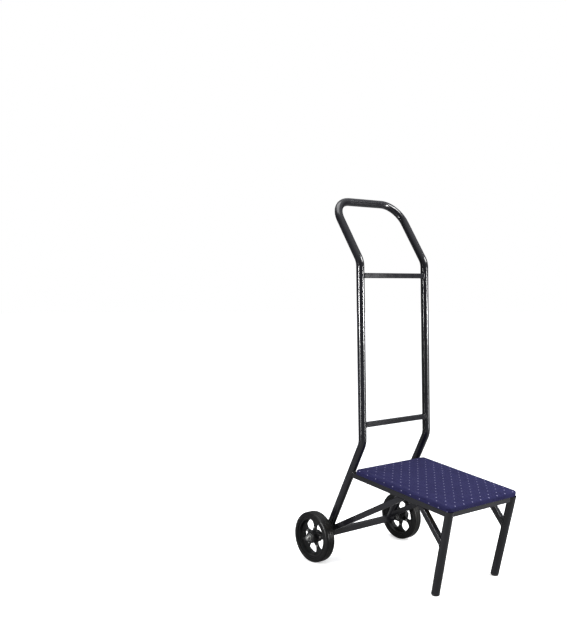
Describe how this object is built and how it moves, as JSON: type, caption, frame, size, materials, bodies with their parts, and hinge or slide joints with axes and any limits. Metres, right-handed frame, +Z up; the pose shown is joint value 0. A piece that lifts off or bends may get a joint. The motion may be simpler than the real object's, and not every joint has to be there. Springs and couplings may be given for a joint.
{
  "type": "luggage cart",
  "caption": "Upright two-wheeled luggage cart: bent-tube handle frame, fabric-covered padded deck sloping to two front legs, spoked wheels on a rear axle.",
  "frame": {"origin": "on the floor, under the middle of the cart's box", "axes": "+X across the cart along the axle, to the right seen from the front of the deck looking at the handle; +Y back, from the deck to the handle; +Z up"},
  "size_m": [0.5986, 0.7559, 1.4755],
  "materials": {
    "frame_paint": "gloss black paint on welded steel tube",
    "foot_plastic": "dark moulded plug",
    "plywood": "raw plywood",
    "foam": "cut foam sheet",
    "deck_fabric": "woven navy cloth with small pale dots",
    "zinc_steel": "bright zinc plate",
    "tyre_rubber": "solid black rubber",
    "rim_paint": "satin black pressed steel",
    "nylon": "moulded black nylon"
  },
  "bodies": {
    "frame": {"handle_frame": "frame_paint", "upper_crossbar": "frame_paint", "lower_crossbar": "frame_paint", "axle_tube": "frame_paint", "left_strut": "frame_paint", "right_strut": "frame_paint", "left_side_rail": "frame_paint", "right_side_rail": "frame_paint", "front_rail": "frame_paint", "rear_rail": "frame_paint", "left_leg": "frame_paint", "right_leg": "frame_paint", "left_gusset": "frame_paint", "right_gusset": "frame_paint", "left_foot_plug": "foot_plastic", "right_foot_plug": "foot_plastic", "deck_board": "plywood", "deck_foam": "foam", "deck_cover": "deck_fabric", "deck_screws": "zinc_steel", "deck_staples": "zinc_steel", "axle_rod": "zinc_steel", "left_end_bush": "zinc_steel", "right_end_bush": "zinc_steel", "left_spacer": "zinc_steel", "right_spacer": "zinc_steel", "left_inner_washer": "zinc_steel", "right_inner_washer": "zinc_steel", "left_outer_washer": "zinc_steel", "right_outer_washer": "zinc_steel", "left_lock_nut": "zinc_steel", "right_lock_nut": "zinc_steel"},
    "left_wheel": {"left_tyre": "tyre_rubber", "left_rim_outer": "rim_paint", "left_rim_inner": "rim_paint", "left_hub_sleeve": "zinc_steel", "left_outer_bearing": "nylon", "left_inner_bearing": "nylon", "left_rim_bolts": "zinc_steel", "left_rim_nuts": "zinc_steel"},
    "right_wheel": {"right_tyre": "tyre_rubber", "right_rim_outer": "rim_paint", "right_rim_inner": "rim_paint", "right_hub_sleeve": "zinc_steel", "right_outer_bearing": "nylon", "right_inner_bearing": "nylon", "right_rim_bolts": "zinc_steel", "right_rim_nuts": "zinc_steel"}
  },
  "joints": [
    {"name": "left_wheel_spin", "type": "hinge", "parent": "frame", "child": "left_wheel", "pos_m": [-0.2555, 0.27575, 0.1015], "axis": [1, 0, 0], "continuous": true},
    {"name": "right_wheel_spin", "type": "hinge", "parent": "frame", "child": "right_wheel", "pos_m": [0.2555, 0.27575, 0.1015], "axis": [1, 0, 0], "continuous": true}
  ]
}
